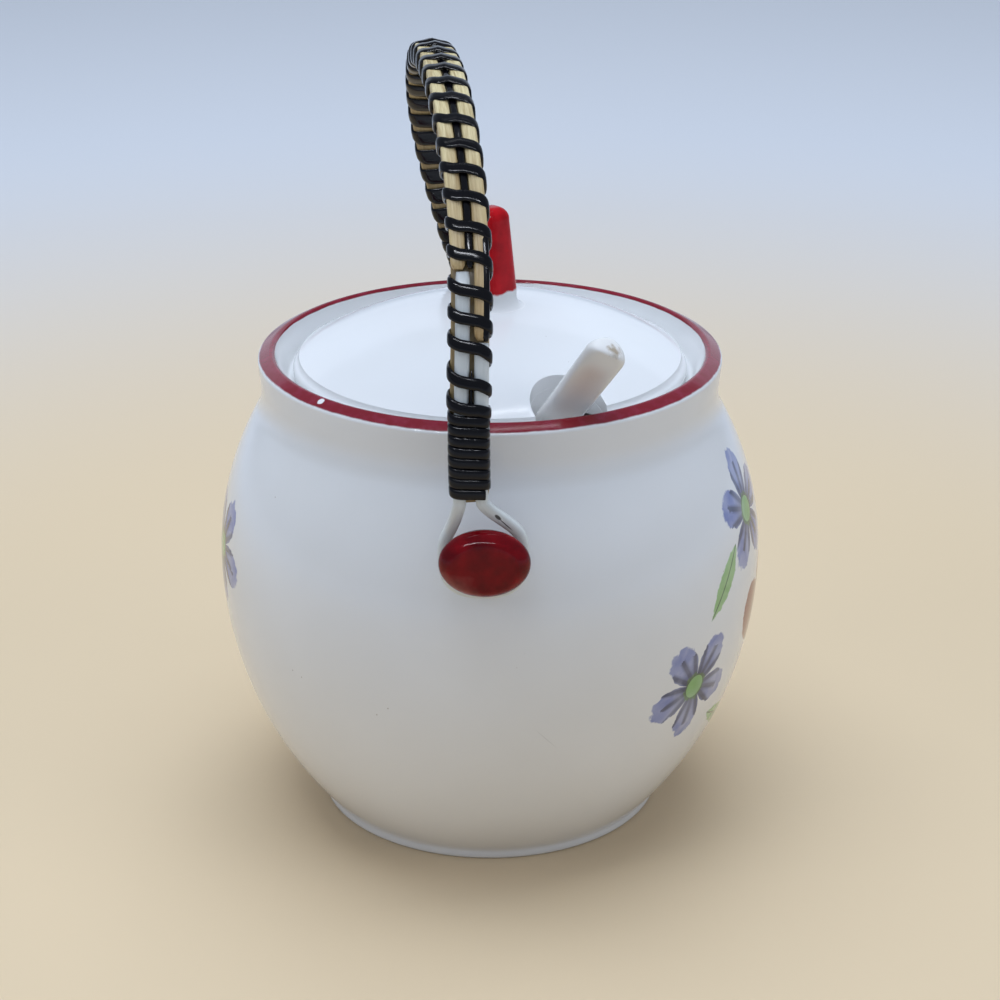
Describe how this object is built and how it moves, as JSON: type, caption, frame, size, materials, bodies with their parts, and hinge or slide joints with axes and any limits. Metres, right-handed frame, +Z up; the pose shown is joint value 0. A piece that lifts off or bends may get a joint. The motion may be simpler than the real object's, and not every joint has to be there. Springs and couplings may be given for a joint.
{
  "type": "jam pot",
  "caption": "Round-bellied glazed jam pot with a red rim, a recessed domed lid with a knob and a spoon notch, a leaning spoon, oval lugs and a swinging bail of bound cane.",
  "frame": {"origin": "centre of the foot, on the table", "axes": "+Z up along the pot's axis, -Y towards the front lug, +X to the right as seen from the front"},
  "size_m": [0.112, 0.1292, 0.1597],
  "materials": {
    "glaze": "glossy",
    "red_glaze": "glossy",
    "cane": "satin",
    "pale_cane": "satin",
    "dark_cane": "satin"
  },
  "bodies": {
    "pot": {"pot_body": "glaze", "lug_front": "red_glaze", "lug_back": "red_glaze"},
    "bail": {"cane_inner": "cane", "cane_left": "cane", "cane_right": "cane", "spine_strip": "dark_cane", "loop_front": "pale_cane", "loop_back": "pale_cane", "wrap": "dark_cane"},
    "lid": {"lid": "glaze", "lid_knob": "red_glaze"},
    "spoon": {"spoon": "glaze"}
  },
  "joints": [
    {"name": "bail_swing", "type": "hinge", "parent": "pot", "child": "bail", "pos_m": [0, 0, 0.0775], "axis": [0, 1, 0], "range_deg": [-120, 135]},
    {"name": "lid_lift", "type": "slide", "parent": "pot", "child": "lid", "axis": [0, 0, 1], "range_m": [0, 0.02]},
    {"name": "spoon_lift", "type": "slide", "parent": "pot", "child": "spoon", "axis": [0.4401, -0.4206, 0.7934], "range_m": [0, 0.015]}
  ]
}
